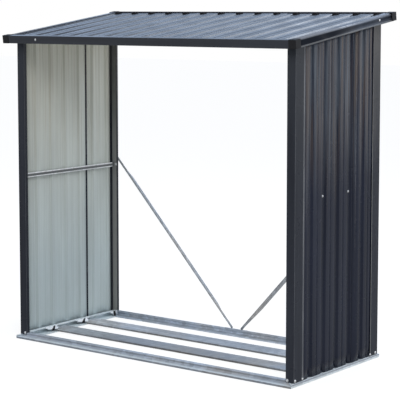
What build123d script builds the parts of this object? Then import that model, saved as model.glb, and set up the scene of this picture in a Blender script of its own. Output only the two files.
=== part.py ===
from build123d import *
import os
from math import cos, hypot, radians, sin, tan

os.makedirs("parts", exist_ok=True)

# Driving dimensions of the whole store, in millimetres and degrees.
# X runs across the open front, Y from front to rear, Z up from the ground.
roof_width = 1630
roof_depth = 800
rear_height = 1540
roof_pitch = 7.9
side_overhang = 37
front_overhang = 57
rear_overhang = 67

# Gauges of the folded sheet metal
post_gauge = 1.5
rail_gauge = 1.5
sheet_gauge = 1
trim_gauge = 1.2
cap_gauge = 1.2
bend_radius = 2

# Base rails: a folded section with a ledge outside and a flat foot inside
ledge_height = 16
rail_height = 26
rail_top_return = 24
rear_top_return = 6
rail_foot = 50
side_ledge_reach = 3
front_ledge_reach = 24
front_ledge_fall = 7
rear_ledge_reach = 10
mitre_gap = 0.3

# Floor slats: two shallow channels between the side rails
slat_width = 100
slat_height = 10
slat_lip_setback = 40
slat_end_gap = 1
slat_ear_ahead = 40
slat_ear_behind = 45
slat_ear_top = 19
slat_ear_run = 16
front_slat_share = 0.37
rear_slat_share = 0.685

# Wedge slots in the side rails' uprights, one behind each slat's front corner and one at the rear
slot_setback = 2
slot_width = 12
slot_lean = 20
slot_tip = 3
slot_foot = 3
slot_corner_setback = 16

# Corner posts
post_front_leg = 42
post_side_leg = 68
front_post_return = 20
rear_post_return = 13
post_hem = 7
post_hem_lift = 3
post_bend = 5
post_top_gap = 0.3
post_notch_gap = 0.5

# Ribbed sheets: wide crests, narrow valleys and a small groove along each crest
wall_rib_depth = 8
roof_rib_depth = 12
valley_base_half = 9
valley_mouth_half = 18
crest_groove_half = 5
crest_groove_depth = 2
roof_rib_pitch = 106.5
wall_rib_pitch = 101
wall_first_valley = 124
wall_seam_share = 0.71
wall_setback = 22
sheet_lap = 30
roof_seam_ribs = 2.5
sheet_end_gap = 0.8

# Wall rails inside
mid_rail_level = 772
mid_rail_height = 22
mid_rail_depth = 12
mid_rail_lip = 5.5
mid_rail_flat = 26
mid_tab_reach = 20
mid_tab_height = 13
mid_rail_end_gap = 0.5
top_rail_flange = 18
top_rail_web = 26
top_rail_end_gap = 8

# Roof beams and edge trims
beam_depth = 25
beam_flange = 40
beam_end_gap = 1
fascia_height = 36
fascia_lip = 30
side_fascia_lip = 36
drip_reach = 3
drip_drop = 4
fascia_bottom_lip = 15
hem_drop = 0.7
trim_bend = 1.5
fascia_end_gap = 0.3
cap_reach = 36

# Rear brace
brace_width = 12
brace_flange = 19
brace_tab = 34
brace_corner = 4
brace_foot_half_spread = 30
brace_foot_lift = 15
brace_top_level = 820
foot_plate_width = 140

# Places worked out from the driving dimensions
pitch_angle = radians(roof_pitch)
pitch_sin = sin(pitch_angle)
pitch_cos = cos(pitch_angle)
post_span_across = roof_width - 2 * side_overhang
post_span_deep = roof_depth - front_overhang - rear_overhang
half_span = post_span_across / 2
post_front_y = front_overhang - roof_depth / 2
post_rear_y = post_front_y + post_span_deep
outer_sheet_x = half_span - post_gauge
inner_sheet_x = outer_sheet_x - sheet_gauge
upright_x = inner_sheet_x - wall_rib_depth - sheet_gauge
front_upright_y = post_front_y + post_gauge
rear_upright_y = post_rear_y - post_gauge
base_half_width = half_span + side_ledge_reach
base_front_y = post_front_y - front_ledge_reach
base_rear_y = post_rear_y + rear_ledge_reach
foot_level = ledge_height + bend_radius

# The roof has its own tilted frame: u across, v up the slope, w square to the sheet
cap_height = fascia_height + cap_gauge
slope_length = (roof_depth - cap_height * pitch_sin) / pitch_cos
half_slope = slope_length / 2
half_roof = roof_width / 2
roof_origin = (0, -cap_height * pitch_sin / 2, rear_height - half_slope * pitch_sin)
trim_top = -cap_gauge
trim_bottom = trim_top - fascia_height
upper_crest = trim_top - trim_gauge - hem_drop
lower_crest = upper_crest - sheet_gauge
roof_under = lower_crest - roof_rib_depth - sheet_gauge
roof_normal = (0, -pitch_sin, pitch_cos)
slope_direction = (0, pitch_cos, pitch_sin)


def roof_level(y, w):
    """Height above the ground, at depth y, of the roof's own level w."""
    return roof_origin[2] + (y - roof_origin[1]) * tan(pitch_angle) + w / pitch_cos


def slope_place(y):
    """Distance up the slope of a point at depth y."""
    return (y - roof_origin[1]) / pitch_cos


def across_slope_plane(v):
    """Plane square to the slope; its normal points down the slope, to the front."""
    origin = (0, roof_origin[1] + v * pitch_cos, roof_origin[2] + v * pitch_sin)
    return Plane(origin=origin, x_dir=(1, 0, 0), z_dir=(0, -pitch_cos, -pitch_sin))


def along_slope_plane(x):
    """Upright plane at x, with its axes up the slope and square to the sheet."""
    return Plane(origin=(x, roof_origin[1], roof_origin[2]), x_dir=slope_direction, z_dir=(1, 0, 0))


def finish(piece, node):
    """Labels a finished piece and writes its file."""
    piece.part.label = node
    export_step(piece.part, f"parts/{node}.step")


def mirrored(piece):
    """The same piece for the right-hand side."""
    with BuildPart() as twin:
        mirror(piece.part, about=Plane.YZ)
    return twin


def folded(plane, points, length, gauge, side, radius):
    """A folded section: its outer line, thickened to one side and drawn out from the plane."""
    with BuildPart() as section:
        with BuildSketch(plane):
            with BuildLine():
                FilletPolyline(*points, radius=radius)
                offset(amount=gauge, side=side)
            make_face()
        extrude(amount=length)
    return section


# Base rails

def rail_line(reach, top_return, fall):
    """Outer line of a base rail, from the top return over the ledge to the foot."""
    ledge = reach + post_gauge
    return [
        (-top_return, rail_height),
        (0, rail_height),
        (0, ledge_height),
        (ledge, ledge_height - fall),
        (ledge, 0),
        (-rail_foot, 0),
    ]


def mitre_plane(hand, end, shift):
    """Upright plane across a base corner; hand is -1 left, 1 right; end is -1 front, 1 rear."""
    corner_y = base_front_y if end < 0 else base_rear_y
    normal = Vector(hand, -end, 0).normalized()
    origin = Vector(hand * base_half_width, corner_y, 0) + normal * shift
    return Plane(origin=origin, z_dir=normal)


def cross_rail(end, upright_y, line, side):
    """Front or rear base rail, mitred at both ends."""
    points = [(upright_y + end * out, z) for out, z in line]
    start = Plane.YZ.offset(-base_half_width)
    section = folded(start, points, 2 * base_half_width, rail_gauge, side, bend_radius)
    with BuildPart() as rail:
        add(section.part)
        for hand in (-1, 1):
            split(bisect_by=mitre_plane(hand, end, -mitre_gap / 2), keep=Keep.BOTTOM)
    return rail


def slat_middle(share):
    """Depth of a slat's middle line."""
    return post_front_y + share * post_span_deep


slat_fronts = [slat_middle(share) - slat_width / 2 for share in (front_slat_share, rear_slat_share)]
slot_starts = [front + slot_setback for front in slat_fronts]
slot_starts.append(rear_upright_y - slot_corner_setback - slot_lean)


def wedge_slot(start):
    """A leaning wedge, wide at the foot, through the left rail's upright and a slat's ear."""
    slot_points = [
        (start, slot_foot),
        (start + slot_width, slot_foot),
        (start + slot_lean + slot_tip, slat_ear_top),
        (start + slot_lean, slat_ear_top),
    ]
    with BuildPart() as slot:
        with BuildSketch(Plane.YZ.offset(-upright_x - slot_tip)):
            with BuildLine():
                Polyline(*slot_points, close=True)
            make_face()
        extrude(amount=slot_tip + slat_ear_run + rail_gauge)
    return slot


front_line = rail_line(front_ledge_reach, rail_top_return, front_ledge_fall)
rear_line = rail_line(rear_ledge_reach, rear_top_return, 0)
base_front_rail = cross_rail(-1, front_upright_y, front_line, Side.RIGHT)
base_rear_rail = cross_rail(1, rear_upright_y, rear_line, Side.RIGHT)

side_ledge = half_span + side_ledge_reach - post_gauge - upright_x
side_points = [(-upright_x - out, z) for out, z in rail_line(side_ledge, rail_top_return, 0)]
side_start = Plane.XZ.offset(-base_rear_y)
side_length = base_rear_y - base_front_y
side_section = folded(side_start, side_points, side_length, rail_gauge, Side.LEFT, bend_radius)
with BuildPart() as base_left_rail:
    add(side_section.part)
    for end in (-1, 1):
        split(bisect_by=mitre_plane(-1, end, mitre_gap / 2), keep=Keep.TOP)
    with BuildSketch(Plane.XY.offset(foot_level)):
        with Locations((-upright_x, base_front_y)):
            Rectangle(2 * rail_foot, 2 * (front_upright_y - base_front_y + mitre_gap))
    extrude(amount=rail_height, mode=Mode.SUBTRACT)
    for start in slot_starts:
        add(wedge_slot(start).part, mode=Mode.SUBTRACT)

finish(base_front_rail, "base_front_rail")
finish(base_rear_rail, "base_rear_rail")
finish(base_left_rail, "base_left_rail")
finish(mirrored(base_left_rail), "base_right_rail")


# Floor slats

def slat_ear(front, end_half):
    """A leaning ear at a slat's left end, from its top up to the rail, slotted behind the front edge."""
    foot = slat_height - rail_gauge
    lean = [
        (-end_half, slat_ear_top),
        (slat_ear_run - end_half, foot),
        (slat_ear_run + rail_gauge - end_half, slat_height),
        (rail_gauge - end_half, slat_ear_top),
    ]
    with BuildPart() as ear:
        with BuildSketch(Plane.XZ.offset(slat_ear_ahead - front)):
            with BuildLine():
                Polyline(*lean, close=True)
            make_face()
        extrude(amount=-slat_ear_ahead - slat_ear_behind)
        add(wedge_slot(front + slot_setback).part, mode=Mode.SUBTRACT)
    return ear


def floor_slat(share):
    """A shallow channel with its lips on the side rails' feet and flat ends under their returns."""
    middle = slat_middle(share)
    front = middle - slat_width / 2
    rear = middle + slat_width / 2
    lip_half = upright_x - slat_lip_setback
    end_half = upright_x - rail_gauge - slat_end_gap
    points = [(front, rail_gauge), (front, slat_height), (rear, slat_height), (rear, rail_gauge)]
    channel = folded(Plane.YZ.offset(-lip_half), points, 2 * lip_half, rail_gauge, Side.RIGHT, bend_radius)
    with BuildPart() as slat:
        add(channel.part)
        with BuildSketch(Plane.XY.offset(slat_height - rail_gauge)):
            with Locations((0, middle)):
                Rectangle(2 * end_half, slat_width - 2 * bend_radius)
        extrude(amount=rail_gauge)
        ear = slat_ear(front, end_half)
        add(ear.part)
        mirror(ear.part, about=Plane.YZ)
    return slat


finish(floor_slat(front_slat_share), "floor_slat_front")
finish(floor_slat(rear_slat_share), "floor_slat_rear")


# Corner posts

def left_post(end, face_y, post_return, side):
    """A left-hand corner post: return, face leg and side leg with its lifted edge."""
    lowest_y = face_y if end < 0 else face_y - post_side_leg
    top = roof_level(lowest_y, roof_under) - post_top_gap
    points = [
        (-half_span + post_front_leg, face_y - end * post_return),
        (-half_span + post_front_leg, face_y),
        (-half_span, face_y),
        (-half_span, face_y - end * (post_side_leg - post_hem)),
        (-half_span - post_hem_lift, face_y - end * post_side_leg),
    ]
    foot = Plane.XY.offset(foot_level)
    section = folded(foot, points, top - foot_level, post_gauge, side, post_bend)
    notch_y = face_y - end * (post_gauge + post_return / 2)
    with BuildPart() as post:
        add(section.part)
        with BuildSketch(foot):
            with Locations((post_front_leg - half_span, notch_y)):
                Rectangle(2 * (post_gauge + post_bend), post_return)
        extrude(amount=rail_height + post_notch_gap - foot_level, mode=Mode.SUBTRACT)
    return post


front_left_post = left_post(-1, post_front_y, front_post_return, Side.RIGHT)
rear_left_post = left_post(1, post_rear_y, rear_post_return, Side.LEFT)
finish(front_left_post, "front_left_post")
finish(mirrored(front_left_post), "front_right_post")
finish(rear_left_post, "rear_left_post")
finish(mirrored(rear_left_post), "rear_right_post")


# Ribbed sheets

def rib_line(valleys, depth):
    """Outer line of ribbed steel: crests at 0, valleys below, a groove along each crest between."""
    line = []
    for place, middle in enumerate(valleys):
        line += [(middle - valley_mouth_half, 0), (middle - valley_base_half, -depth)]
        line += [(middle + valley_base_half, -depth), (middle + valley_mouth_half, 0)]
        if place + 1 < len(valleys):
            line += crest_groove((middle + valleys[place + 1]) / 2)
    return line


def cut_line(line, start, finish_at):
    """The stretch of a ribbed line between a sheet's two edges."""

    def level(place):
        for (before, low), (after, high) in zip(line, line[1:]):
            if before <= place <= after:
                return low + (high - low) * (place - before) / (after - before)
        return 0

    inside = [corner for corner in line if start < corner[0] < finish_at]
    return [(start, level(start)), *inside, (finish_at, level(finish_at))]


def crest_groove(middle):
    """The small stiffening groove along the middle of a crest."""
    return [
        (middle - crest_groove_half, 0),
        (middle, -crest_groove_depth),
        (middle + crest_groove_half, 0),
    ]


wall_start = post_front_y + wall_setback
wall_end = post_rear_y - wall_setback
wall_seam = post_front_y + wall_seam_share * post_span_deep
wall_valleys = []
next_valley = post_front_y + wall_first_valley
while next_valley + valley_mouth_half < wall_end:
    wall_valleys.append(next_valley)
    next_valley += wall_rib_pitch


def left_wall_sheet(start, finish_at, crest_x):
    """An upright ribbed sheet of the left wall, its top edge cut to the slope."""
    valleys = [y for y in wall_valleys if start < y < finish_at]
    ribs = cut_line(rib_line(valleys, wall_rib_depth), start, finish_at)
    outer = [(-crest_x - level, y) for y, level in ribs]
    inner = [(x + sheet_gauge, y) for x, y in reversed(outer)]
    top_cut = Plane(origin=(0, 0, roof_level(0, roof_under - post_top_gap)), z_dir=roof_normal)
    with BuildPart() as sheet:
        with BuildSketch(Plane.XY.offset(foot_level)):
            with BuildLine():
                Polyline(*outer, *inner, close=True)
            make_face()
        extrude(amount=rear_height)
        split(bisect_by=top_cut, keep=Keep.BOTTOM)
    return sheet


left_wall_front_sheet = left_wall_sheet(wall_start, wall_seam, inner_sheet_x)
left_wall_rear_sheet = left_wall_sheet(wall_seam - sheet_lap, wall_end, outer_sheet_x)
finish(left_wall_front_sheet, "left_wall_front_sheet")
finish(mirrored(left_wall_front_sheet), "right_wall_front_sheet")
finish(left_wall_rear_sheet, "left_wall_rear_sheet")
finish(mirrored(left_wall_rear_sheet), "right_wall_rear_sheet")

# Wall rails: a lipped channel at mid height, flattened at its ends, and an angle under the roof
mid_top = mid_rail_level + mid_rail_height / 2
mid_bottom = mid_rail_level - mid_rail_height / 2
mid_edge = mid_rail_depth - upright_x
mid_points = [
    (mid_edge, mid_top - mid_rail_lip),
    (mid_edge, mid_top),
    (-upright_x, mid_top),
    (-upright_x, mid_bottom),
    (mid_edge, mid_bottom),
    (mid_edge, mid_bottom + mid_rail_lip),
]
mid_rail_rear = rear_upright_y - mid_rail_end_gap
mid_rail_front = front_upright_y + mid_rail_end_gap
mid_start = Plane.XZ.offset(-mid_rail_rear)
mid_length = mid_rail_rear - mid_rail_front
mid_channel = folded(mid_start, mid_points, mid_length, rail_gauge, Side.LEFT, bend_radius)
mid_web_face = rail_gauge - upright_x
with BuildPart() as left_mid_rail:
    add(mid_channel.part)
    for end_y, inward in ((mid_rail_front, 1), (mid_rail_rear, -1)):
        with BuildSketch(Plane.XY.offset(mid_bottom)):
            with Locations((mid_web_face + mid_rail_depth / 2, end_y + inward * mid_rail_flat / 2)):
                Rectangle(mid_rail_depth, mid_rail_flat)
        extrude(amount=mid_rail_height, mode=Mode.SUBTRACT)
        with BuildSketch(Plane.XY.offset(mid_rail_level - mid_tab_height / 2)):
            with Locations((mid_tab_reach / 2 - upright_x, end_y + inward * rail_gauge / 2)):
                Rectangle(mid_tab_reach, rail_gauge)
        extrude(amount=mid_tab_height)

top_rail_rear = slope_place(rear_upright_y - top_rail_end_gap)
top_rail_front = slope_place(front_upright_y + top_rail_end_gap)
top_points = [
    (top_rail_flange - upright_x, roof_under),
    (-upright_x, roof_under),
    (-upright_x, roof_under - top_rail_web),
]
top_start = across_slope_plane(top_rail_rear)
top_length = top_rail_rear - top_rail_front
left_top_rail = folded(top_start, top_points, top_length, rail_gauge, Side.LEFT, bend_radius)

finish(left_mid_rail, "left_mid_rail")
finish(mirrored(left_mid_rail), "right_mid_rail")
finish(left_top_rail, "left_top_rail")
finish(mirrored(left_top_rail), "right_top_rail")


# Roof beams, folded so that the top flange follows the slope

def roof_beam(end, face_y, side):
    """Front or rear beam: a web on the posts' faces and a flange under the roof sheets."""
    web_top = roof_level(face_y, roof_under)
    flange_y = face_y + end * beam_flange
    half_length = half_span - beam_end_gap
    points = [
        (face_y, web_top - beam_depth),
        (face_y, web_top),
        (flange_y, roof_level(flange_y, roof_under)),
    ]
    start = Plane.YZ.offset(-half_length)
    return folded(start, points, 2 * half_length, rail_gauge, side, bend_radius)


finish(roof_beam(-1, post_front_y, Side.LEFT), "front_roof_beam")
finish(roof_beam(1, post_rear_y, Side.RIGHT), "rear_roof_beam")

# Roof sheets: the middle one laps over the two outer ones and ends in the bottom of a crest groove
roof_valleys = [0]
next_valley = roof_rib_pitch
while next_valley - valley_mouth_half < half_roof - cap_gauge - trim_gauge:
    roof_valleys = [-next_valley] + roof_valleys + [next_valley]
    next_valley += roof_rib_pitch

roof_sheet_front = -half_slope + cap_gauge + trim_gauge + sheet_end_gap
roof_sheet_rear = -roof_sheet_front
sheet_edge = half_roof - cap_gauge - drip_reach - trim_gauge - bend_radius
roof_seam = roof_seam_ribs * roof_rib_pitch


def roof_sheet(start, finish_at, crest):
    """A ribbed roof sheet laid up the slope."""
    ribs = cut_line(rib_line(roof_valleys, roof_rib_depth), start, finish_at)
    upper = [(u, crest + level) for u, level in ribs]
    lower = [(u, w - sheet_gauge) for u, w in reversed(upper)]
    with BuildPart() as sheet:
        with BuildSketch(across_slope_plane(roof_sheet_rear)):
            with BuildLine():
                Polyline(*upper, *lower, close=True)
            make_face()
        extrude(amount=roof_sheet_rear - roof_sheet_front)
    return sheet


roof_left_sheet = roof_sheet(-sheet_edge, -roof_seam + sheet_lap, lower_crest)
roof_middle_sheet = roof_sheet(-roof_seam, roof_seam, upper_crest)
finish(roof_left_sheet, "roof_left_sheet")
finish(roof_middle_sheet, "roof_middle_sheet")
finish(mirrored(roof_left_sheet), "roof_right_sheet")


# Edge trims: folded channels round the roof, hemmed on the crests; the side ones end in a drip edge

def trim_line(edge, inward, hem_level):
    """Outer line of an edge trim from its hem over the lip and down the face."""
    lip_end = edge + inward * fascia_lip
    return [
        (lip_end, hem_level),
        (lip_end, trim_top),
        (edge, trim_top),
        (edge, trim_bottom),
        (edge + inward * fascia_bottom_lip, trim_bottom),
    ]


def cross_fascia(end, side):
    """Front or rear edge trim across the whole roof."""
    edge = end * (half_slope - cap_gauge)
    half_length = half_roof - cap_gauge
    points = trim_line(edge, -end, upper_crest)
    start = along_slope_plane(-half_length)
    return folded(start, points, 2 * half_length, trim_gauge, side, trim_bend)


side_trim_half = half_slope - cap_gauge - fascia_lip - fascia_end_gap
drip_x = cap_gauge + fascia_end_gap - half_roof
side_face_x = drip_x + drip_reach
side_lip_x = side_face_x + side_fascia_lip
side_trim = [
    (side_lip_x, lower_crest),
    (side_lip_x, trim_top),
    (side_face_x, trim_top),
    (side_face_x, trim_bottom + drip_drop),
    (drip_x, trim_bottom),
]
trim_start = across_slope_plane(side_trim_half)
left_fascia = folded(trim_start, side_trim, 2 * side_trim_half, trim_gauge, Side.LEFT, trim_bend)

finish(cross_fascia(-1, Side.LEFT), "front_fascia")
finish(cross_fascia(1, Side.RIGHT), "rear_fascia")
finish(left_fascia, "left_fascia")
finish(mirrored(left_fascia), "right_fascia")


# Corner caps over the trims' ends

def left_cap(end):
    """A three-sided cap over a left-hand roof corner."""
    middle = half_roof - cap_reach / 2
    inner_shift = cap_gauge / 2
    roof_top = Plane(origin=roof_origin, x_dir=(1, 0, 0), z_dir=roof_normal)
    with BuildPart() as cap:
        with BuildSketch(roof_top):
            with Locations((-middle, end * (half_slope - cap_reach / 2))):
                Rectangle(cap_reach, cap_reach)
        extrude(amount=-cap_height)
        with BuildSketch(roof_top.offset(-cap_gauge)):
            with Locations((inner_shift - middle, end * (half_slope - cap_reach / 2 - inner_shift))):
                Rectangle(cap_reach - cap_gauge, cap_reach - cap_gauge)
        extrude(amount=-fascia_height, mode=Mode.SUBTRACT)
    return cap


for end, word in ((-1, "front"), (1, "rear")):
    corner_cap = left_cap(end)
    finish(corner_cap, f"{word}_left_cap")
    finish(mirrored(corner_cap), f"{word}_right_cap")

# Rear brace: two channelled strips from the posts down to a plate on the rear rail
brace_foot_x = -brace_foot_half_spread
brace_foot_z = ledge_height + brace_foot_lift
brace_top_x = post_front_leg / 2 - half_span
brace_run = brace_top_x - brace_foot_x
brace_rise = brace_top_level - brace_foot_z
brace_length = hypot(brace_run, brace_rise) + brace_width
brace_middle = ((brace_foot_x + brace_top_x) / 2, post_rear_y, (brace_foot_z + brace_top_level) / 2)
brace_plane = Plane(origin=brace_middle, x_dir=(brace_run, 0, brace_rise), z_dir=(0, 1, 0))
with BuildPart() as left_brace:
    with BuildSketch(brace_plane):
        RectangleRounded(brace_length, brace_width, brace_corner)
    extrude(amount=rail_gauge)
    with BuildSketch(brace_plane):
        with GridLocations(0, brace_width - rail_gauge, 1, 2):
            Rectangle(brace_length - 2 * brace_tab, rail_gauge)
    extrude(amount=brace_flange)

with BuildPart() as brace_foot_plate:
    with BuildSketch(Plane.XZ.offset(-post_rear_y)):
        with Locations((0, (foot_level + rail_height) / 2)):
            Rectangle(foot_plate_width, rail_height - foot_level)
    extrude(amount=post_gauge)

finish(left_brace, "left_brace")
finish(mirrored(left_brace), "right_brace")
finish(brace_foot_plate, "brace_foot_plate")
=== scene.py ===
from math import cos, pi, radians, sin, tan

import bmesh
import bpy
from mathutils import Matrix, Vector, noise


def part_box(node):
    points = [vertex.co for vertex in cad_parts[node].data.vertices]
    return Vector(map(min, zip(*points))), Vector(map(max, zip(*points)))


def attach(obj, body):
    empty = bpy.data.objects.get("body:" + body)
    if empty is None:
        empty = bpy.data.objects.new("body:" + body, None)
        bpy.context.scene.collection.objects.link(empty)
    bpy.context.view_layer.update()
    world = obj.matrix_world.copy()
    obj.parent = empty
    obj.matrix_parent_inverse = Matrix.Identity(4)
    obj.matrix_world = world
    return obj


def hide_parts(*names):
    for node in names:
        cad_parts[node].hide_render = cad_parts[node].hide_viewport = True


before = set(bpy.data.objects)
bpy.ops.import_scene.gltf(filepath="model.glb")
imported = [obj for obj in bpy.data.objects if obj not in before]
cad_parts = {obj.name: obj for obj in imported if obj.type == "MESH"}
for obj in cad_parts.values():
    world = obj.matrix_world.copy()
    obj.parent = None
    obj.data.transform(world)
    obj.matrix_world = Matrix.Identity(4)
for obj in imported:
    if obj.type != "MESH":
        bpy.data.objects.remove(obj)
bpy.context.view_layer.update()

# Base rails: four lengths of folded galvanised strip, mitred at the corners and screwed
# through the posts' feet. The zinc shows its spangle, rolling streaks and a few warm stains.


def add_node(tree, kind, sockets=None, **settings):
    """Adds a node, sets its options and fills its sockets with values or other nodes' outputs."""
    made = tree.nodes.new(kind)
    for option, value in settings.items():
        setattr(made, option, value)
    for socket, value in (sockets or {}).items():
        if isinstance(value, bpy.types.NodeSocket):
            tree.links.new(value, made.inputs[socket])
        else:
            made.inputs[socket].default_value = value
    return made


def blended(tree, share, first, second, way="MIX"):
    """Colour between two others, by a share or a mask."""
    factor, colour_a, colour_b, result = 0, 6, 7, 2
    made = add_node(tree, "ShaderNodeMix", {factor: share, colour_a: first, colour_b: second},
                    data_type="RGBA", blend_type=way)
    return made.outputs[result]


def ranged(tree, value, low, high, new_low, new_high):
    """A value carried from one range to another."""
    made = add_node(tree, "ShaderNodeMapRange", {"Value": value, "From Min": low, "From Max": high,
                                                 "To Min": new_low, "To Max": new_high})
    return made.outputs["Result"]


def worked(tree, way, first, second):
    """Two values put together by one sum."""
    return add_node(tree, "ShaderNodeMath", {0: first, 1: second}, operation=way).outputs[0]


def grained(tree, scale, stretch=(1, 1, 1), detail=2):
    """Soft noise, drawn out along an axis where the sheet was rolled."""
    place = add_node(tree, "ShaderNodeTexCoord").outputs["Object"]
    drawn = add_node(tree, "ShaderNodeMapping", {"Vector": place, "Scale": stretch}).outputs["Vector"]
    made = add_node(tree, "ShaderNodeTexNoise", {"Vector": drawn, "Scale": scale, "Detail": detail})
    return made.outputs["Fac"]


def placed(tree, axis):
    """Where a spot lies along one axis of the store."""
    place = add_node(tree, "ShaderNodeTexCoord").outputs["Object"]
    return add_node(tree, "ShaderNodeSeparateXYZ", {"Vector": place}).outputs[axis]


def faced(tree, axis):
    """How far a face looks along one axis of the store."""
    facing = add_node(tree, "ShaderNodeNewGeometry").outputs["Normal"]
    return add_node(tree, "ShaderNodeSeparateXYZ", {"Vector": facing}).outputs[axis]


def laid_over(finish, share, colour):
    """Lays a colour over what a finish has so far, by a mask."""
    tree = finish.node_tree
    coat = tree.nodes["Principled BSDF"].inputs["Base Color"]
    tree.links.new(blended(tree, share, coat.links[0].from_socket, colour), coat)


def new_finish(name, roughness, metallic=0):
    """An empty finish: the material, its tree and its surface shader."""
    finish = bpy.data.materials.new(name)
    finish.use_nodes = True
    shader = finish.node_tree.nodes["Principled BSDF"]
    shader.inputs["Roughness"].default_value = roughness
    shader.inputs["Metallic"].default_value = metallic
    return finish, finish.node_tree, shader


def zinc_finish(name, roll_axis, cold, warm, metal=0.35, upright_shade=1):
    """Galvanised strip rolled along one axis; its upright faces can be darkened, as painted shade."""
    finish, tree, shader = new_finish(name, 0.4, metal)
    spangle_scale = 45
    place = add_node(tree, "ShaderNodeTexCoord").outputs["Object"]
    flakes = add_node(tree, "ShaderNodeTexVoronoi", {"Vector": place, "Scale": spangle_scale})
    flake_tone = ranged(tree, flakes.outputs["Color"], 0, 1, 0.76, 1.22)
    stretch = [60, 60, 60]
    stretch[roll_axis] = 1.5
    streaks = ranged(tree, grained(tree, 1, stretch, 3), 0.3, 0.7, 0.84, 1.14)
    stains = ranged(tree, grained(tree, 3.2, detail=4), 0.48, 0.68, 0, 0.8)
    colour = blended(tree, stains, cold, warm)
    colour = blended(tree, 1, colour, flake_tone, "MULTIPLY")
    colour = blended(tree, 1, colour, streaks, "MULTIPLY")
    # Painted shade: faces that stand upright are multiplied by a darker tone, for the shade they are in.
    level = worked(tree, "ABSOLUTE", faced(tree, "Z"), 0)
    colour = blended(tree, 1, colour, ranged(tree, level, 0.3, 0.7, upright_shade, 1), "MULTIPLY")
    tree.links.new(colour, shader.inputs["Base Color"])
    rough = ranged(tree, flakes.outputs["Color"], 0, 1, 0.36, 0.54)
    tree.links.new(rough, shader.inputs["Roughness"])
    bump = add_node(tree, "ShaderNodeBump", {"Height": streaks, "Strength": 0.25, "Distance": 0.0006})
    tree.links.new(bump.outputs["Normal"], shader.inputs["Normal"])
    return finish


def dress(finish, *nodes):
    """Gives carried-over CAD nodes their finish."""
    for node in nodes:
        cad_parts[node].data.materials.clear()
        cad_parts[node].data.materials.append(finish)


MM = 0.001
ROLLED_ACROSS, ROLLED_DEEP, ROLLED_UP = 0, 1, 2
zinc_cold = (0.50, 0.56, 0.645, 1)
zinc_warm = (0.54, 0.51, 0.48, 1)
# Painted light: the side rails' zinc is a much lighter copy of the rail zinc, standing in for the light they
# catch.
bright_cold, bright_warm = (0.87, 0.95, 1, 1), (0.84, 0.89, 0.92, 1)
lit_foot_zinc = (0.88, 0.97, 1, 1)
shaded_upright_zinc = (0.36, 0.40, 0.46, 1)
foot_top, foot_clear = 3 * MM, 5 * MM
shade_low, shade_high = 7 * MM, 12 * MM
bright_metal = 0.1
zinc_bright = zinc_finish("zinc_bright", ROLLED_DEEP, bright_cold, bright_warm, metal=bright_metal)
bright_tree = zinc_bright.node_tree
bright_height = placed(bright_tree, "Z")
# Painted light: the feet, in a low band next to the floor, are laid over with a lighter, bluer zinc, against
# the wall's shade.
laid_over(zinc_bright, ranged(bright_tree, bright_height, foot_top, foot_clear, 0.8, 0), lit_foot_zinc)
# Painted shade: the outer uprights above the ledge, under the wall sheets' foot, are laid over with a darker
# zinc.
outward = worked(bright_tree, "MULTIPLY", placed(bright_tree, "X"), faced(bright_tree, "X"))
upright_shade_mask = worked(bright_tree, "MULTIPLY", ranged(bright_tree, outward, 0.3, 0.6, 0, 1),
                  ranged(bright_tree, bright_height, shade_low, shade_high, 0, 1))
laid_over(zinc_bright, upright_shade_mask, shaded_upright_zinc)
bright_tree.links.new(ranged(bright_tree, bright_height, foot_top, foot_clear, 0, bright_metal),
                      bright_tree.nodes["Principled BSDF"].inputs["Metallic"])

ledge_top, ledge_clear = 10 * MM, 14 * MM
zinc_front = zinc_finish("zinc_front_rail", ROLLED_ACROSS, zinc_cold, zinc_warm, upright_shade=0.6)
front_tree = zinc_front.node_tree
# Painted light: the front rail's upward faces low down, its ledge, are laid over with bright zinc; its
# upright faces are darkened, as painted shade.
low_down = ranged(front_tree, placed(front_tree, "Z"), ledge_top, ledge_clear, 1, 0)
lit_ledge_share = ranged(front_tree, faced(front_tree, "Z"), 0.8, 0.9, 0, 0.8)
laid_over(zinc_front, worked(front_tree, "MULTIPLY", low_down, lit_ledge_share), bright_cold)

# Painted light: the rear rail's zinc is a lighter copy, offsetting the shade on its inner face.
rear_cold, rear_warm = (0.60, 0.66, 0.74, 1), (0.63, 0.60, 0.57, 1)
zinc_rear = zinc_finish("zinc_rear_rail", ROLLED_ACROSS, rear_cold, rear_warm)
dress(zinc_front, "base_front_rail")
dress(zinc_rear, "base_rear_rail")
dress(zinc_bright, "base_left_rail", "base_right_rail")

# Floor slats: two shallow galvanised channels that lie on the side rails' feet and keep
# the lowest logs off the ground. Painted light makes them lighter towards their ends and their leaning,
# slotted ears brighter still; painted shade darkens their upright faces.
slat_metal, ear_metal = 0.35, 0.4
ear_lit_zinc = (0.90, 0.94, 0.97, 1)
ear_start, ear_full = 744 * MM, 750 * MM
slat_cold = (0.53, 0.565, 0.615, 1)
# Painted shade: the slats' upright faces are darkened.
zinc_slat = zinc_finish("zinc_slat", ROLLED_ACROSS, slat_cold, zinc_warm, slat_metal, upright_shade=0.55)
slat_tree = zinc_slat.node_tree
slat_coat = slat_tree.nodes["Principled BSDF"].inputs["Base Color"]
# Painted light: the slats are made lighter towards their ends, offsetting the shade the walls cast there,
# and the rear slat lighter than the front one.
slat_along = worked(slat_tree, "ABSOLUTE", placed(slat_tree, "X"), 0)
slat_painted_light = worked(slat_tree, "MULTIPLY", ranged(slat_tree, slat_along, 0.3, 0.66, 0.74, 1.2),
                   ranged(slat_tree, placed(slat_tree, "Y"), -0.02, 0.05, 0.84, 1.1))
slat_tree.links.new(blended(slat_tree, 1, slat_coat.links[0].from_socket, slat_painted_light, "MULTIPLY"), slat_coat)
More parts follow.
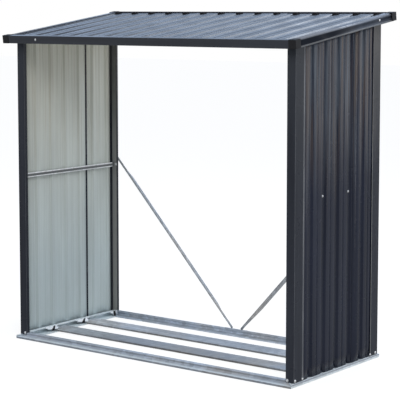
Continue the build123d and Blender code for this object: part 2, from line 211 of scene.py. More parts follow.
# Painted light: the ears are laid over with near-white zinc, standing in for the light they catch.
slat_ear = ranged(slat_tree, slat_along, ear_start, ear_full, 0, 1)
laid_over(zinc_slat, slat_ear, ear_lit_zinc)
slat_tree.links.new(ranged(slat_tree, slat_ear, 0, 1, slat_metal, ear_metal),
                    slat_tree.nodes["Principled BSDF"].inputs["Metallic"])
dress(zinc_slat, "floor_slat_front", "floor_slat_rear")

# Slat wedges: black wedge-shaped blocks in the slots of the slats' ears and in the rear
# corners of the side rails, standing in for the shade in those gaps, as painted shade. Blunt edges.


def moulded_and_shade_black(name, roughness, depth=1):
    """A fine-grained black: moulded plastic, and the painted shade of black blocks put in shaded gaps."""
    finish, tree, shader = new_finish(name, roughness)
    shader.inputs["Specular IOR Level"].default_value = 0.25
    grain = grained(tree, 260, detail=3)
    deep_black = (0.008 * depth, 0.008 * depth, 0.010 * depth, 1)
    worn_black = (0.020 * depth, 0.020 * depth, 0.023 * depth, 1)
    tree.links.new(blended(tree, grain, deep_black, worn_black), shader.inputs["Base Color"])
    bump = add_node(tree, "ShaderNodeBump", {"Height": grain, "Strength": 0.2, "Distance": 0.0004})
    tree.links.new(bump.outputs["Normal"], shader.inputs["Normal"])
    return finish


def blunt_blocks(name, blocks, finish, blunt=0.5 * MM):
    """Small blocks, each drawn from one outline to another, with blunt edges: pressed tabs, and black blocks
    of painted shade.
    """
    work = bmesh.new()
    for near, far in blocks:
        rings = [[work.verts.new(corner) for corner in ring] for ring in (near, far)]
        for step in range(len(near)):
            over = (step + 1) % len(near)
            work.faces.new((rings[0][step], rings[0][over], rings[1][over], rings[1][step]))
        work.faces.new(rings[0][::-1])
        work.faces.new(rings[1])
    bmesh.ops.recalc_face_normals(work, faces=work.faces)
    bmesh.ops.bevel(work, geom=work.edges[:], offset=blunt, segments=2, profile=0.5, affect="EDGES")
    mesh = bpy.data.meshes.new(name)
    work.to_mesh(mesh)
    work.free()
    mesh.materials.append(finish)
    piece = bpy.data.objects.new(name, mesh)
    bpy.context.scene.collection.objects.link(piece)
    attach(piece, "root")


ear_foot, ear_lean = 736.4, 0.18


def leaning_block(hand, start, outline, near, far):
    """A block against a slat's ear, given in millimetres, that leans out as the ear does."""
    return [[Vector((hand * (ear_foot + ear_lean * z + depth), start + y, z)) * MM for y, z in outline]
            for depth in (near, far)]


# Painted shade: black wedges put in the shaded gaps at the slats' ears and the rail corners.
shade_wedge_outline = [(-26, 8), (-8, 4.5), (1, 27), (-6.5, 27)]
corner_shade_wedge = [(291, 3), (304, 3), (304, 26), (291, 26)]
shade_wedge_near, shade_wedge_far = -2.5, 0.5
slat_starts = (-143, 75)
shade_wedge_blocks = []
for hand in (-1, 1):
    for start in slat_starts:
        shade_wedge_blocks.append(leaning_block(hand, start, shade_wedge_outline, shade_wedge_near, shade_wedge_far))
    shade_wedge_blocks.append(leaning_block(hand, 0, corner_shade_wedge, shade_wedge_near, shade_wedge_far))
blunt_blocks("slat_shade_wedges", shade_wedge_blocks, moulded_and_shade_black("wedge_shade_black", 0.7, 0.6))

# Slat tabs: bright galvanised tabs stood up at the slats' ends, over the side rails' edge, and one
# more in each rear corner. The wedges sit against them.
tab_outline = [(-72, 26), (-69, 27), (15, 27), (22, 10.3), (0, 10.3), (-41, 14.5)]
corner_tab = [(262, 27), (322, 27), (322, 6), (290, 6)]
tab_near, tab_far = 0, 1
tab_cold, tab_warm = (0.96, 1, 1, 1), (0.93, 0.99, 1, 1)
tab_zinc = zinc_finish("tab_zinc", ROLLED_DEEP, tab_cold, tab_warm, metal=0.95)
tab_blocks = []
for hand in (-1, 1):
    for start in slat_starts:
        tab_blocks.append(leaning_block(hand, start, tab_outline, tab_near, tab_far))
    tab_blocks.append(leaning_block(hand, 0, corner_tab, tab_near, tab_far))
blunt_blocks("slat_tabs", tab_blocks, tab_zinc, blunt=0.25 * MM)

# Corner posts: folded anthracite strip, stove enamelled, with a lifted edge over the wall
# sheet. The enamel has a fine orange peel, paler folds that are partly wear and partly painted highlight, a
# painted highlight on the lifted edge, a paler ragged top and a pale coat on the bay side.


def enamel_finish(name, colour, fold_wear_and_highlight, roll_axis=ROLLED_UP, roughness=0.28, gloss=0.22, peel_strength=0.12):
    """Baked enamel on steel, with orange peel, faint streaks and paler folds, partly wear and partly painted
    highlight.
    """
    finish, tree, shader = new_finish(name, roughness)
    shader.inputs["Specular IOR Level"].default_value = gloss
    stretch = [14, 14, 14]
    stretch[roll_axis] = 0.8
    streaks = ranged(tree, grained(tree, 1.6, stretch, 4), 0.3, 0.7, 0.8, 1.25)
    toned = blended(tree, 1, colour, streaks, "MULTIPLY")
    # Paler folds: partly wear, partly painted highlight where the folds would catch the light.
    soft_fold = add_node(tree, "ShaderNodeBevel", {"Radius": 0.0025}, samples=4)
    straight = add_node(tree, "ShaderNodeNewGeometry").outputs["Normal"]
    turned = add_node(tree, "ShaderNodeVectorMath", {0: soft_fold.outputs["Normal"], 1: straight},
                      operation="DOT_PRODUCT").outputs["Value"]
    fold = ranged(tree, turned, 0.97, 0.75, 0, 0.5)
    tree.links.new(blended(tree, fold, toned, fold_wear_and_highlight), shader.inputs["Base Color"])
    rough = ranged(tree, grained(tree, 9, detail=4), 0.3, 0.7, roughness - 0.05, roughness + 0.07)
    tree.links.new(rough, shader.inputs["Roughness"])
    peel = grained(tree, 700)
    bump = add_node(tree, "ShaderNodeBump", {"Height": peel, "Strength": peel_strength, "Distance": 0.0003})
    tree.links.new(bump.outputs["Normal"], shader.inputs["Normal"])
    return finish


def pale_side(finish, pale, way):
    """Lays the pale backing coat over the outer part of the faces that look into the bay."""
    tree = finish.node_tree
    pale_start, pale_full = 746 * MM, 752 * MM
    inside = ranged(tree, faced(tree, "Y"), way * 0.6, way * 0.8, 0, 1)
    far_out = ranged(tree, worked(tree, "ABSOLUTE", placed(tree, "X"), 0), pale_start, pale_full, 0, 1)
    laid_over(finish, worked(tree, "MULTIPLY", inside, far_out), pale)


def paler_top(finish, top_tone, start, full):
    """Lays a paler, ragged tone over the upper part of a post."""
    tree = finish.node_tree
    ragged = ranged(tree, grained(tree, 1, (25, 25, 4), 4), 0.3, 0.7, -0.15, 0.15)
    height = worked(tree, "ADD", placed(tree, "Z"), ragged)
    laid_over(finish, ranged(tree, height, start, full, 0, 0.85), top_tone)


def edge_highlight(finish, highlight):
    """Painted highlight: pales the narrow lifted edge along a post, in patches, where it would catch the
    light.
    """
    tree = finish.node_tree
    edge_turn, edge_range = 0.39, 0.1
    turned = worked(tree, "SUBTRACT", worked(tree, "ABSOLUTE", faced(tree, "Y"), 0), edge_turn)
    slanted = worked(tree, "LESS_THAN", worked(tree, "ABSOLUTE", turned, 0), edge_range)
    patchy = ranged(tree, grained(tree, 1, (60, 60, 6), 3), 0.35, 0.6, 0.55, 1)
    laid_over(finish, worked(tree, "MULTIPLY", slanted, patchy), highlight)


anthracite = (0.032, 0.036, 0.047, 1)
# Paler fold tone, partly wear and partly painted highlight.
worn_and_highlit_anthracite = (0.085, 0.090, 0.102, 1)
# Painted highlight: a much paler tone for the lifted edge along the posts.
highlight_anthracite = (0.19, 0.20, 0.22, 1)
post_pale = (0.36, 0.37, 0.36, 1)
TO_FRONT, TO_REAR = -1, 1
post_gloss = 0.09
front_top_tone, rear_top_tone = (0.040, 0.045, 0.054, 1), (0.120, 0.116, 0.112, 1)
front_post_enamel = enamel_finish("front_post_enamel", anthracite, worn_and_highlit_anthracite, gloss=post_gloss)
pale_side(front_post_enamel, post_pale, TO_REAR)
rear_post_enamel = enamel_finish("rear_post_enamel", anthracite, worn_and_highlit_anthracite, gloss=post_gloss)
pale_side(rear_post_enamel, post_pale, TO_FRONT)
paler_top(front_post_enamel, front_top_tone, start=0.85, full=1.40)
paler_top(rear_post_enamel, rear_top_tone, start=0.92, full=1.50)
edge_highlight(front_post_enamel, highlight_anthracite)
edge_highlight(rear_post_enamel, highlight_anthracite)
dress(front_post_enamel, "front_left_post", "front_right_post")
dress(rear_post_enamel, "rear_left_post", "rear_right_post")

# Foot screws: plated pan heads with a cross recess, on washers, through the posts' feet
# into the base rails. Two in each side leg and one in each face leg.


def screw_heads(name, spots, head, height, washer):
    """Pan heads with a cross recess, each on its spot and facing outwards."""
    sides = 24
    turn_between = 0.9
    arm, half_arm = 0.42 * head, 0.10 * head
    sunk = 0.2 * MM
    washer_top = 1 * MM if washer > head else 0
    top = washer_top + height
    lathe = [(head, -sunk)]
    if washer > head:
        lathe = [(washer, -sunk), (washer, 0.7 * washer_top), (0.95 * washer, washer_top)]
    lathe += [(head, washer_top), (head, washer_top + 0.35 * height),
              (0.93 * head, washer_top + 0.7 * height), (0.76 * head, washer_top + 0.93 * height),
              (0.55 * head, top)]
    quarter = [(arm, -half_arm), (arm, half_arm), (half_arm, half_arm)]
    cross = [Matrix.Rotation(turn * pi / 2, 2) @ Vector(corner) for turn in range(4) for corner in quarter]
    angles = [(step - 1) * 2 * pi / sides for step in range(sides)]
    round_rim = [Vector((cos(angle), sin(angle), 0)) for angle in angles]
    work = bmesh.new()
    for count, (place, outward) in enumerate(spots):
        facing = Vector(outward).to_track_quat("Z", "Y").to_matrix().to_4x4()
        seat = Matrix.Translation(place) @ facing @ Matrix.Rotation(turn_between * count, 4, "Z")
        rings = []
        for radius, level in lathe:
            lift = Vector((0, 0, level))
            rings.append([work.verts.new(seat @ (radius * spot + lift)) for spot in round_rim])
        for lower, upper in zip(rings, rings[1:]):
            for step in range(sides):
                over = (step + 1) % sides
                work.faces.new((lower[step], lower[over], upper[over], upper[step])).smooth = True
        work.faces.new(rings[0][::-1])
        mouth = [work.verts.new(seat @ Vector((x, y, top))) for x, y in cross]
        pit = [work.verts.new(seat @ Vector((0.8 * x, 0.8 * y, top - 0.5 * height))) for x, y in cross]
        rim = rings[-1]
        for step in range(len(cross)):
            over = (step + 1) % len(cross)
            near, middle, far = (rim[(2 * step + extra) % sides] for extra in range(3))
            work.faces.new((mouth[step], near, middle, far, mouth[over]))
            work.faces.new((mouth[step], mouth[over], pit[over], pit[step]))
        work.faces.new(pit)
    mesh = bpy.data.meshes.new(name)
    work.to_mesh(mesh)
    work.free()
    mesh.materials.append(screw_plate)
    heads = bpy.data.objects.new(name, mesh)
    bpy.context.scene.collection.objects.link(heads)
    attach(heads, "root")


screw_plate, screw_tree, screw_shader = new_finish("screw_plate", 0.3, 0.8)
screw_wear = ranged(screw_tree, grained(screw_tree, 300, detail=3), 0.35, 0.65, 0, 1)
dull_plate, bright_plate = (0.62, 0.63, 0.64, 1), (0.84, 0.84, 0.83, 1)
screw_tone = blended(screw_tree, screw_wear, dull_plate, bright_plate)
screw_tree.links.new(screw_tone, screw_shader.inputs["Base Color"])
screw_tree.links.new(ranged(screw_tree, screw_wear, 0, 1, 0.42, 0.26), screw_shader.inputs["Roughness"])

post_half_span = 778 * MM
post_front, post_rear = -343 * MM, 333 * MM
front_leg_x, rear_leg_x = 746 * MM, 757 * MM
foot_screw_z = 26 * MM
foot_spots = []
for hand in (-1, 1):
    for y in (-332, -277, 267, 312):
        foot_spots.append(((hand * post_half_span, y * MM, foot_screw_z), (hand, 0, 0)))
    foot_spots.append(((hand * front_leg_x, post_front, foot_screw_z), (0, -1, 0)))
    foot_spots.append(((hand * rear_leg_x, post_rear, foot_screw_z), (0, 1, 0)))
screw_heads("foot_screws", foot_spots, head=4.4 * MM, height=2.6 * MM, washer=6.5 * MM)

# Wall sheets: thin ribbed steel, two to a wall, slid behind the posts and lapped at a seam, where
# the front sheet's edge is turned back and shows dark inside. Anthracite enamel outside, a pale
# grey-green backing coat inside; thin sheet never lies flat.


def bent_line(corners, radii=None, steps=3):
    """Follows a sheet's corners, with a rolled bend at each."""
    rib_bend, longest_reach = 1.8 * MM, 0.45
    line = [Vector(corners[0])]
    radii = radii or [rib_bend] * len(corners)
    for before, corner, after, radius in zip(corners, corners[1:], corners[2:], radii):
        back = Vector(before) - Vector(corner)
        ahead = Vector(after) - Vector(corner)
        reach = radius / tan(back.angle(ahead) / 2)
        reach = min(reach, longest_reach * back.length, longest_reach * ahead.length)
        first = Vector(corner) + back.normalized() * reach
        last = Vector(corner) + ahead.normalized() * reach
        for step in range(steps + 1):
            s = step / steps
            line.append(first * (1 - s) ** 2 + Vector(corner) * 2 * s * (1 - s) + last * s ** 2)
    line.append(Vector(corners[-1]))
    return line


def ribbed_corners(start, end, valleys, depth):
    """Corners of a ribbed sheet: wide crests, narrow valleys and a groove on each crest."""
    base, mouth = 9 * MM, 18 * MM
    groove, groove_depth = 5 * MM, 2 * MM
    corners = []
    for place, middle in enumerate(valleys):
        corners += [(middle - mouth, 0), (middle - base, -depth)]
        corners += [(middle + base, -depth), (middle + mouth, 0)]
        if place + 1 < len(valleys):
            crest = (middle + valleys[place + 1]) / 2
            corners += [(crest - groove, 0), (crest, -groove_depth), (crest + groove, 0)]

    def level(at):
        for (before, low), (after, high) in zip(corners, corners[1:]):
            if before <= at <= after:
                return low + (high - low) * (at - before) / (after - before)
        return 0

    near = 0.1 * MM
    inside = [corner for corner in corners if start + near < corner[0] < end - near]
    return [(start, level(start)), *inside, (end, level(end))]


def sheet_mesh(work, line, back, rows, place, outside, inside, edge=None):
    """Adds a thin sheet to a mesh: its two lines carried along its rows, with a finish on each side.
    The last step of its outside can have a finish of its own, as an edge."""
    outer, inner = ([[work.verts.new(place(across, level, row)) for across, level in side] for row in rows]
                    for side in (line, back))
    made = []

    def face(corners, finish, smooth):
        made.append(work.faces.new(corners))
        made[-1].material_index = finish
        made[-1].smooth = smooth

    last_step = len(line) - 1
    for row in range(len(rows) - 1):
        up = row + 1
        for step in range(last_step):
            over = step + 1
            skin = edge if edge is not None and over == last_step else outside
            face((outer[row][step], outer[row][over], outer[up][over], outer[up][step]), skin, True)
            face((inner[row][step], inner[up][step], inner[up][over], inner[row][over]), inside, True)
        face((outer[row][0], outer[up][0], inner[up][0], inner[row][0]), outside, False)
        face((outer[up][-1], outer[row][-1], inner[row][-1], inner[up][-1]), outside, False)
    for step in range(last_step):
        over = step + 1
        face((outer[0][over], outer[0][step], inner[0][step], inner[0][over]), outside, False)
        face((outer[-1][step], outer[-1][over], inner[-1][over], inner[-1][step]), outside, False)
    bmesh.ops.recalc_face_normals(work, faces=made)


def under(line, gauge):
    """The lower line of a sheet."""
    return [(across, level - gauge) for across, level in line]


def sheet_piece(node, work, finishes):
    """Puts a finished sheet in its CAD node's place."""
    mesh = bpy.data.meshes.new(node + "_rolled")
    work.to_mesh(mesh)
    work.free()
    for finish in finishes:
        mesh.materials.append(finish)
    piece = bpy.data.objects.new(node + "_rolled", mesh)
    bpy.context.scene.collection.objects.link(piece)
    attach(piece, "root")
    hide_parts(node)


def reflection_streaks(finish, reflected_brown, reflected_blue):
    """Painted reflection: narrow upright brown and blue streaks on the upper part of an outside wall, for
    the surroundings mirrored in the enamel.
    """
    tree = finish.node_tree
    ragged = worked(tree, "MULTIPLY_ADD", grained(tree, 1, (1, 30, 0.5), 2), 0.7)
    ragged.node.inputs[2].default_value = -0.35
    high_up = ranged(tree, worked(tree, "ADD", placed(tree, "Z"), ragged), 0.8, 1.2, 0.03, 1)
    for reflected_tone, scale, stretch in ((reflected_brown, 1, (1, 75, 1.2)), (reflected_blue, 1.3, (1, 55, 1.4))):
        streaks = ranged(tree, grained(tree, scale, stretch, 3), 0.45, 0.65, 0, 0.85)
        laid_over(finish, worked(tree, "MULTIPLY", streaks, high_up), reflected_tone)


def backing_finish(name, low_colour, high_colour, stain):
    """Pale backing coat on the sheet's inner side, with fine brown runs towards the top; its tone goes from
    bluer low down to lighter and warmer high up, as painted light.
    """
    finish, tree, shader = new_finish(name, 0.45)
    height = placed(tree, "Z")
    # Painted light: bluer low down for the floor's light, lighter and warmer high up against the shade under
    # the roof.
    coat = blended(tree, ranged(tree, height, 0.3, 1.4, 0, 1), low_colour, high_colour)
    runs = ranged(tree, grained(tree, 1, (70, 70, 1.4), 4), 0.52, 0.75, 0, 1)
    run_share = worked(tree, "MULTIPLY", runs, ranged(tree, height, 0.6, 1.5, 0.03, 0.55))
    fine = ranged(tree, grained(tree, 1, (160, 160, 0.6), 2), 0.3, 0.7, 0.93, 1.07)
    mottled = ranged(tree, grained(tree, 3, (3, 3, 1), 3), 0.3, 0.7, 0.95, 1.05)
    coat = blended(tree, 1, blended(tree, 1, coat, mottled, "MULTIPLY"), fine, "MULTIPLY")
    tree.links.new(blended(tree, run_share, coat, stain), shader.inputs["Base Color"])
    grain = grained(tree, 500)
    bump = add_node(tree, "ShaderNodeBump", {"Height": grain, "Strength": 0.1, "Distance": 0.0003})
    tree.links.new(bump.outputs["Normal"], shader.inputs["Normal"])
    return finish


wall_anthracite = (0.010, 0.014, 0.030, 1)
# Painted reflection: streak tones for the upper outside walls.
reflected_brown, reflected_blue = (0.115, 0.090, 0.076, 1), (0.080, 0.100, 0.130, 1)
# Painted light: the backing's low and high tones.
backing_low, backing_high = (0.59, 0.68, 0.69, 1), (0.71, 0.70, 0.60, 1)
backing_stain = (0.32, 0.24, 0.14, 1)
wall_enamel = enamel_finish("wall_enamel", wall_anthracite, worn_and_highlit_anthracite, roughness=0.24)
reflection_streaks(wall_enamel, reflected_brown, reflected_blue)
wall_backing = backing_finish("wall_backing", backing_low, backing_high, backing_stain)
OUTSIDE, INSIDE = 0, 1
wall_valleys = [(-219 + 101 * place) * MM for place in range(6)]
wall_rib_depth = 8 * MM
wall_gauge = 1 * MM
wall_foot = 18 * MM
wall_rows = [share / 28 for share in range(29)]
wall_rear_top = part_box("left_wall_rear_sheet")[1]
roof_pitch = radians(7.9)
seam_hem, hem_gauge, hem_gap = 11 * MM, 0.8 * MM, 0.1 * MM
thin_sheet_sway = 0.4 * MM


def wall_sheet(node, hand, hemmed):
    """One upright sheet, slightly wavy between its ribs as thin rolled steel is."""
    low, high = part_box(node)
    crest_x = max(abs(low.x), abs(high.x))
    valleys = [y for y in wall_valleys if low.y < y < high.y]

    def place(across, level, row):
        top = wall_rear_top.z - (wall_rear_top.y - across) * tan(roof_pitch)
        sway = abs(noise.noise(Vector((across * 6, row * 5, hand * 9)))) * thin_sheet_sway
        return Vector((hand * (crest_x + level - sway), across, wall_foot + row * (top - wall_foot)))

    work = bmesh.new()
    line = bent_line(ribbed_corners(low.y, high.y, valleys, wall_rib_depth))
    sheet_mesh(work, line, under(line, wall_gauge), wall_rows, place, OUTSIDE, INSIDE)
    if hemmed:
        hem_level = -wall_gauge - hem_gap
        turned_back = [(high.y - seam_hem, hem_level), (high.y, hem_level)]
        sheet_mesh(work, turned_back, under(turned_back, hem_gauge), wall_rows, place, OUTSIDE, OUTSIDE)
    sheet_piece(node, work, (wall_enamel, wall_backing))


for word, hand in (("left", -1), ("right", 1)):
    wall_sheet(f"{word}_wall_front_sheet", hand, True)
    wall_sheet(f"{word}_wall_rear_sheet", hand, False)

# Wall rails: along each wall, a folded galvanised channel at mid height, open to the bay and
# flattened where it meets the posts, and an angle under the roof. The channel's lips are painted
# bright, as painted light, and its groove is painted dark, as painted shade.
zinc_rail = zinc_finish("zinc_rail", ROLLED_DEEP, (0.56, 0.59, 0.62, 1), zinc_warm)
dress(zinc_rail, "left_top_rail", "right_top_rail")
lit_lip_cold, lit_lip_warm = (0.90, 0.92, 0.93, 1), (0.82, 0.81, 0.79, 1)
groove_shade = (0.26, 0.275, 0.28, 1)
lip_x, groove_x = 758 * MM, 761 * MM
zinc_channel = zinc_finish("zinc_channel", ROLLED_DEEP, lit_lip_cold, lit_lip_warm, metal=0.1)
channel_tree = zinc_channel.node_tree
channel_depth = worked(channel_tree, "ABSOLUTE", placed(channel_tree, "X"), 0)
# Painted shade: the channel's groove is laid over with a dark tone.
laid_over(zinc_channel, ranged(channel_tree, channel_depth, lip_x, groove_x, 0, 1), groove_shade)
dress(zinc_channel, "left_mid_rail", "right_mid_rail")

# Wall screws: plated pan heads on washers, two to a wall, driven from outside through the wall
# sheet's valleys into the mid rail.
mid_rail_z = 772 * MM
post_gauge = 1.5 * MM
valley_x = post_half_span - post_gauge - wall_gauge - wall_rib_depth
wall_spots = []
for hand in (-1, 1):
    for y in (-118, 84):
        wall_spots.append(((hand * valley_x, y * MM, mid_rail_z), (hand, 0, 0)))
screw_heads("wall_screws", wall_spots, head=4 * MM, height=2.4 * MM, washer=5.5 * MM)

# Roof beams: galvanised angles along the front and rear posts' faces, folded so that a flange lies
# under the roof sheets. From outside the edge trims hide most of them.
zinc_beam = zinc_finish("zinc_beam", ROLLED_ACROSS, zinc_cold, zinc_warm)
dress(zinc_beam, "front_roof_beam", "rear_roof_beam")

# Roof sheets: three ribbed sheets up the slope, the middle one lapped over the outer two.
# The enamel outside is smoother than the walls', and the backing coat is the same.
roof_enamel = enamel_finish("roof_enamel", (0.030, 0.037, 0.050, 1), worn_and_highlit_anthracite,
                            roll_axis=ROLLED_DEEP, roughness=0.2, gloss=0.5, peel_strength=0.04)
roof_rib_pitch = 106.5 * MM
roof_valleys = [(place - 7) * roof_rib_pitch for place in range(15)]
roof_rib_depth = 12 * MM
slope_ahead = Vector((0, cos(roof_pitch), sin(roof_pitch)))
slope_up = Vector((0, -sin(roof_pitch), cos(roof_pitch)))
roof_middle = Vector((0, -2.556 * MM, 1484.85 * MM))
roof_half_slope = 398.05 * MM
roof_rows = [share / 20 for share in range(21)]


def roof_spot(x, along, level):
    """A point given across the roof, up its slope and square to its sheets."""
    return roof_middle + Vector((x, 0, 0)) + slope_ahead * along + slope_up * level


def roof_sheet(node, crest):
    """One roof sheet, slightly wavy along its crests."""
    low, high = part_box(node)

    def place(across, level, row):
        sway = abs(noise.noise(Vector((across * 5, row * 4, 3)))) * thin_sheet_sway
        return roof_spot(across, (2 * row - 1) * roof_half_slope, crest + level - sway)

    work = bmesh.new()
    line = bent_line(ribbed_corners(low.x, high.x, roof_valleys, roof_rib_depth))
    sheet_mesh(work, line, under(line, wall_gauge), roof_rows, place, OUTSIDE, INSIDE)
    sheet_piece(node, work, (roof_enamel, wall_backing))


outer_crest, middle_crest = -4.1 * MM, -3.1 * MM
for node, crest in (("roof_left_sheet", outer_crest), ("roof_middle_sheet", middle_crest),
                    ("roof_right_sheet", outer_crest)):
    roof_sheet(node, crest)

# Roof fillers: black plugs in the rear ends of the roof's valleys, pressed up against the
# rear trim's lip, standing in for the shade in the open valley ends, as painted shade.
shade_plug_start, shade_plug_end = 342 * MM, 367.7 * MM
shade_plug_gap = 0.3 * MM
foot_half, shoulder_half, top_half = 8 * MM, 13 * MM, 9 * MM
middle_sheet_half = 2.5 * roof_rib_pitch
shade_plug_blocks = []
for middle in roof_valleys:
    crest = middle_crest if abs(middle) < middle_sheet_half else outer_crest
    foot, shoulder, top = crest - roof_rib_depth + shade_plug_gap, -3 * MM, 2.5 * MM
    shade_plug_outline = [(-foot_half, foot), (foot_half, foot), (shoulder_half, shoulder),
                      (top_half, top), (-top_half, top), (-shoulder_half, shoulder)]
    shade_plug_blocks.append([[roof_spot(middle + across, along, level) for across, level in shade_plug_outline]
                          for along in (shade_plug_start, shade_plug_end)])
blunt_blocks("roof_valley_shade_plugs", shade_plug_blocks, moulded_and_shade_black("valley_shade_black", 0.9))

# Edge trims: folded anthracite channels round the roof, hemmed down on the crests. The side ones
# are rolled over at the top and turned out at the foot as a drip edge.
trim_enamel = enamel_finish("trim_enamel", (0.018, 0.022, 0.032, 1), worn_and_highlit_anthracite,
                            roll_axis=ROLLED_ACROSS, roughness=0.2, gloss=0.5)
# Painted shade: the rear trim's enamel is a darker, matt copy, for the shade on the rear trim's edge.
rear_trim_enamel = enamel_finish("rear_trim_enamel", (0.012, 0.014, 0.020, 1), worn_and_highlit_anthracite,
                                 roll_axis=ROLLED_ACROSS, roughness=0.6, gloss=0.1)
dress(trim_enamel, "front_fascia")
dress(rear_trim_enamel, "rear_fascia")

side_trim_enamel = enamel_finish("side_trim_enamel", (0.021, 0.025, 0.035, 1), worn_and_highlit_anthracite,
                                 roll_axis=ROLLED_DEEP, roughness=0.2)
side_tree = side_trim_enamel.node_tree
side_level = faced(side_tree, "Z")
side_tree.links.new(ranged(side_tree, side_level, 0.1, 0.8, 0.04, 0.5),
                    side_tree.nodes["Principled BSDF"].inputs["Specular IOR Level"])
# Painted reflection: the rolled shoulder's upward faces are laid over with a pale bluish tone, for the sky
# it mirrors.
shoulder_highlight_share = worked(side_tree, "MULTIPLY", ranged(side_tree, side_level, 0.15, 0.5, 0, 0.8),
                      ranged(side_tree, side_level, 0.92, 0.98, 1, 0))
shoulder_highlight = (0.30, 0.33, 0.39, 1)
laid_over(side_trim_enamel, shoulder_highlight_share, shoulder_highlight)
# Painted highlight: the drip edge has a much paler enamel, for the light it catches.
drip_highlight_enamel = enamel_finish("drip_highlight_enamel", (0.19, 0.20, 0.215, 1), worn_and_highlit_anthracite, roll_axis=ROLLED_DEEP)
DRIP_EDGE = 1
trim_gauge = 1.2 * MM
trim_half_slope = 369.75 * MM
trim_side = 810.5 * MM


def rolled_back(line, gauge):
    """The hidden side of a folded strip: its line moved square to itself by the gauge."""
    moved = []
    for step, spot in enumerate(line):
        along = (line[min(step + 1, len(line) - 1)] - line[max(step - 1, 0)]).normalized()
        moved.append(spot + Vector((along.y, -along.x)) * gauge)
    return moved


def side_trim(node, hand):
    """A side trim: hem, lip, rolled shoulder, face and drip edge, drawn up the slope."""
    lip, drip = 774.5 * MM, 813.5 * MM
    top, face_foot, foot = -1.2 * MM, -31.2 * MM, -37.2 * MM
    lip_bend, shoulder_bend = 1.3 * MM, 13 * MM
    corners = [(lip, outer_crest), (lip, top), (trim_side, top), (trim_side, face_foot)]
    line = bent_line(corners, [lip_bend, shoulder_bend], 6)
    line.append(Vector((drip, foot)))

    def place(across, level, row):
        return roof_spot(hand * across, (2 * row - 1) * trim_half_slope, level)

    work = bmesh.new()
    sheet_mesh(work, line, rolled_back(line, trim_gauge), [0, 0.5, 1], place, OUTSIDE, OUTSIDE, DRIP_EDGE)
    sheet_piece(node, work, (side_trim_enamel, drip_highlight_enamel))


side_trim("left_fascia", -1)
side_trim("right_fascia", 1)

# Trim screws: low plated heads without washers, two in the rear trim, one in the front one near
# its left end and one high up in each side trim.
trim_face, trim_middle = 400.05 * MM, -18 * MM
cross_trim_x, side_trim_along = 609 * MM, 264 * MM
trim_spots = [(roof_spot(-cross_trim_x, -trim_face, trim_middle), -slope_ahead)]
for hand in (-1, 1):
    trim_spots.append((roof_spot(hand * cross_trim_x, trim_face, trim_middle), slope_ahead))
for hand in (-1, 1):
    trim_spots.append((roof_spot(hand * trim_side, side_trim_along, trim_middle), (hand, 0, 0)))
screw_heads("trim_screws", trim_spots, head=5 * MM, height=1.1 * MM, washer=0)

# Corner caps: covers moulded in black plastic, matt and finely grained, pushed over the trims' cut
# ends at the roof's four corners.
cap_black = moulded_and_shade_black("cap_black", 0.55, 0.5)
dress(cap_black, "front_left_cap", "front_right_cap", "rear_left_cap", "rear_right_cap")

# Rear brace: two galvanised angle strips in a V behind the bay, bolted to the rear posts and to a
# foot plate on the rear rail, which stiffen the open frame.
zinc_brace = zinc_finish("zinc_brace", ROLLED_UP, (0.44, 0.47, 0.51, 1), zinc_warm)
dress(zinc_brace, "brace_foot_plate")
brace_foot_x, brace_foot_z = 30 * MM, 31 * MM
brace_head_x, brace_head_z = 757 * MM, 820 * MM


def brace_strip(node, hand):
    """An angle strip whose flange, along its lower edge, runs out before the bolted ends."""
    foot = Vector((hand * brace_foot_x, brace_foot_z))
    head = Vector((hand * brace_head_x, brace_head_z))
    along = (head - foot).normalized()
    square = Vector((-along.y, along.x))
    half, gauge, flange, end_depth, end_lap = 6 * MM, 1.5 * MM, 24 * MM, 2.5 * MM, 6 * MM
    length = (head - foot).length + 2 * end_lap
    ends = [0, 34 * MM, 150 * MM]
    rows = ends + [length - end for end in reversed(ends)]

    def place(across, level, row):
        run_out = min(row, length - row)
        full_share = max(0, min(1, (run_out - ends[1]) / (ends[2] - ends[1])))
        depth = end_depth + (flange - end_depth) * full_share
        spot = foot + along * (row - end_lap) + square * across
        return Vector((spot.x, post_rear + min(-level, depth), spot.y))

    lower, upper = -hand * half, hand * half
    outer_bend, inner_bend = 1.6 * MM, 0.4 * MM
    outer = bent_line([(lower, -flange), (lower, 0), (upper, 0)], [outer_bend])
    inner_lower = lower + hand * gauge
    inner = bent_line([(inner_lower, -flange), (inner_lower, -gauge), (upper, -gauge)], [inner_bend])
    work = bmesh.new()
    sheet_mesh(work, outer, inner, rows, place, OUTSIDE, OUTSIDE)
    sheet_piece(node, work, (zinc_brace,))


brace_strip("left_brace", -1)
brace_strip("right_brace", 1)

# Brace bolts: plated heads on small washers, one at each end of both strips, through the strip
# into the post or the foot plate.
brace_face = post_rear + post_gauge
brace_spots = []
for hand in (-1, 1):
    for x, z in ((brace_head_x, brace_head_z), (brace_foot_x, brace_foot_z)):
        brace_spots.append(((hand * x, brace_face, z), (0, 1, 0)))
screw_heads("brace_bolts", brace_spots, head=4 * MM, height=3 * MM, washer=5.5 * MM)

# Floor and studio: a plain white floor that keeps a soft shadow, a grey room with one cool
# white wall behind the store, and large soft lamps in front, to the right and at the rear.
floor_mesh = bpy.data.meshes.new("floor")
floor_half = 30
floor_mesh.from_pydata([(-floor_half, -floor_half, 0), (floor_half, -floor_half, 0),
                        (floor_half, floor_half, 0), (-floor_half, floor_half, 0)], [], [(0, 1, 2, 3)])
floor = bpy.data.objects.new("floor", floor_mesh)
bpy.context.scene.collection.objects.link(floor)
floor_white, floor_tree, floor_shader = new_finish("floor_white", 0.9)
floor_shader.inputs["Base Color"].default_value = (0.45, 0.45, 0.45, 1)
floor_shader.inputs["Specular IOR Level"].default_value = 0
floor_shader.inputs["Emission Color"].default_value = (1, 1, 1, 1)


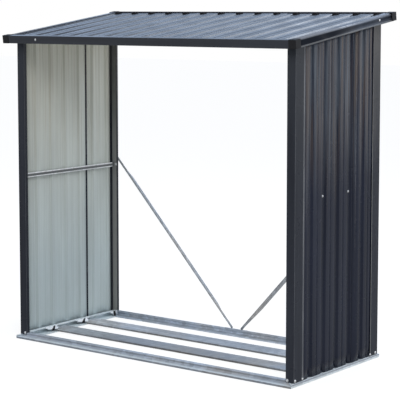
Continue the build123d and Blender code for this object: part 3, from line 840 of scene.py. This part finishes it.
def ray_kinds(tree):
    """Whether a ray comes from the camera, and whether it comes off metal or through glass."""
    path = add_node(tree, "ShaderNodeLightPath").outputs
    return path["Is Camera Ray"], worked(tree, "MAXIMUM", path["Is Glossy Ray"], path["Is Transmission Ray"])


floor_seen, floor_mirrored = ray_kinds(floor_tree)
floor_glow = worked(floor_tree, "MAXIMUM", ranged(floor_tree, floor_seen, 0, 1, 0, 0.72),
                    ranged(floor_tree, floor_mirrored, 0, 1, 0, 0.22))
floor_tree.links.new(floor_glow, floor_shader.inputs["Emission Strength"])
floor_mesh.materials.append(floor_white)

world = bpy.data.worlds.new("studio")
bpy.context.scene.world = world
world.use_nodes = True
room = world.node_tree
direction = add_node(room, "ShaderNodeTexCoord").outputs["Generated"]
wall_way = Vector((-0.60, 0.74, 0.30))
towards_wall = add_node(room, "ShaderNodeVectorMath", {0: direction, 1: wall_way},
                        operation="DOT_PRODUCT").outputs["Value"]
wall_share = ranged(room, towards_wall, 0.25, 0.9, 0, 1)
room_seen, room_mirrored = ray_kinds(room)
cool_wall = blended(room, room_mirrored, (0.72, 0.80, 0.90, 1), (0.53, 0.66, 0.88, 1))
plain_room = blended(room, room_mirrored, (0.50, 0.50, 0.51, 1), (0.55, 0.60, 0.69, 1))
room_colour = blended(room, wall_share, plain_room, cool_wall)
room.links.new(blended(room, room_seen, room_colour, (1, 1, 1, 1)), room.nodes["Background"].inputs["Color"])


def soft_lamp(name, place, target, width, height, power, tint=(1, 1, 1)):
    """A large soft box aimed at a point."""
    light = bpy.data.lights.new(name, "AREA")
    light.shape = "RECTANGLE"
    light.size, light.size_y = width, height
    light.energy = power
    light.color = tint
    lamp = bpy.data.objects.new(name, light)
    lamp.location = place
    lamp.rotation_euler = (Vector(target) - Vector(place)).to_track_quat("-Z", "Y").to_euler()
    lamp.visible_camera = False
    bpy.context.scene.collection.objects.link(lamp)


soft_lamp("front_lamp", (3.0, -4.0, 4.5), (0, 0, 0.8), 2.5, 2.5, 85)
soft_lamp("right_lamp", (5.5, 0.7, 1.3), (0.8, 0, 0.8), 0.6, 3.0, 40)
soft_lamp("left_lamp", (-2.2, -4.2, 2.6), (-0.4, 0, 0.2), 2.0, 2.0, 30)
cool_tint = (0.84, 0.94, 1.10)
soft_lamp("roof_lamp", (1.2, 3.7, 4.95), (0, 0, 1.5), 2.6, 1.3, 40, cool_tint)
soft_lamp("rear_right_lamp", (2.0, 3.6, 3.9), (0.4, 0, 1.5), 1.5, 1.5, 19, cool_tint)
soft_lamp("rear_card", (4.3, 4.7, 1.5), (0.78, 0, 1.2), 3.5, 2.2, 24)

# Camera: eye level with the top of the roof, turned to show the front and the right wall, with a
# long lens and a small shift for the picture's framing.
camera_data = bpy.data.cameras.new("camera")
camera_data.sensor_width = 36
camera_data.lens = 133.14
camera_data.shift_y = -0.1125
camera = bpy.data.objects.new("camera", camera_data)
camera.location = (4.0847, -5.3188, 1.5565)
camera.rotation_euler = (radians(84.32), 0, radians(37.30))
bpy.context.scene.collection.objects.link(camera)
bpy.context.scene.camera = camera
bpy.context.scene.view_settings.view_transform = "Standard"
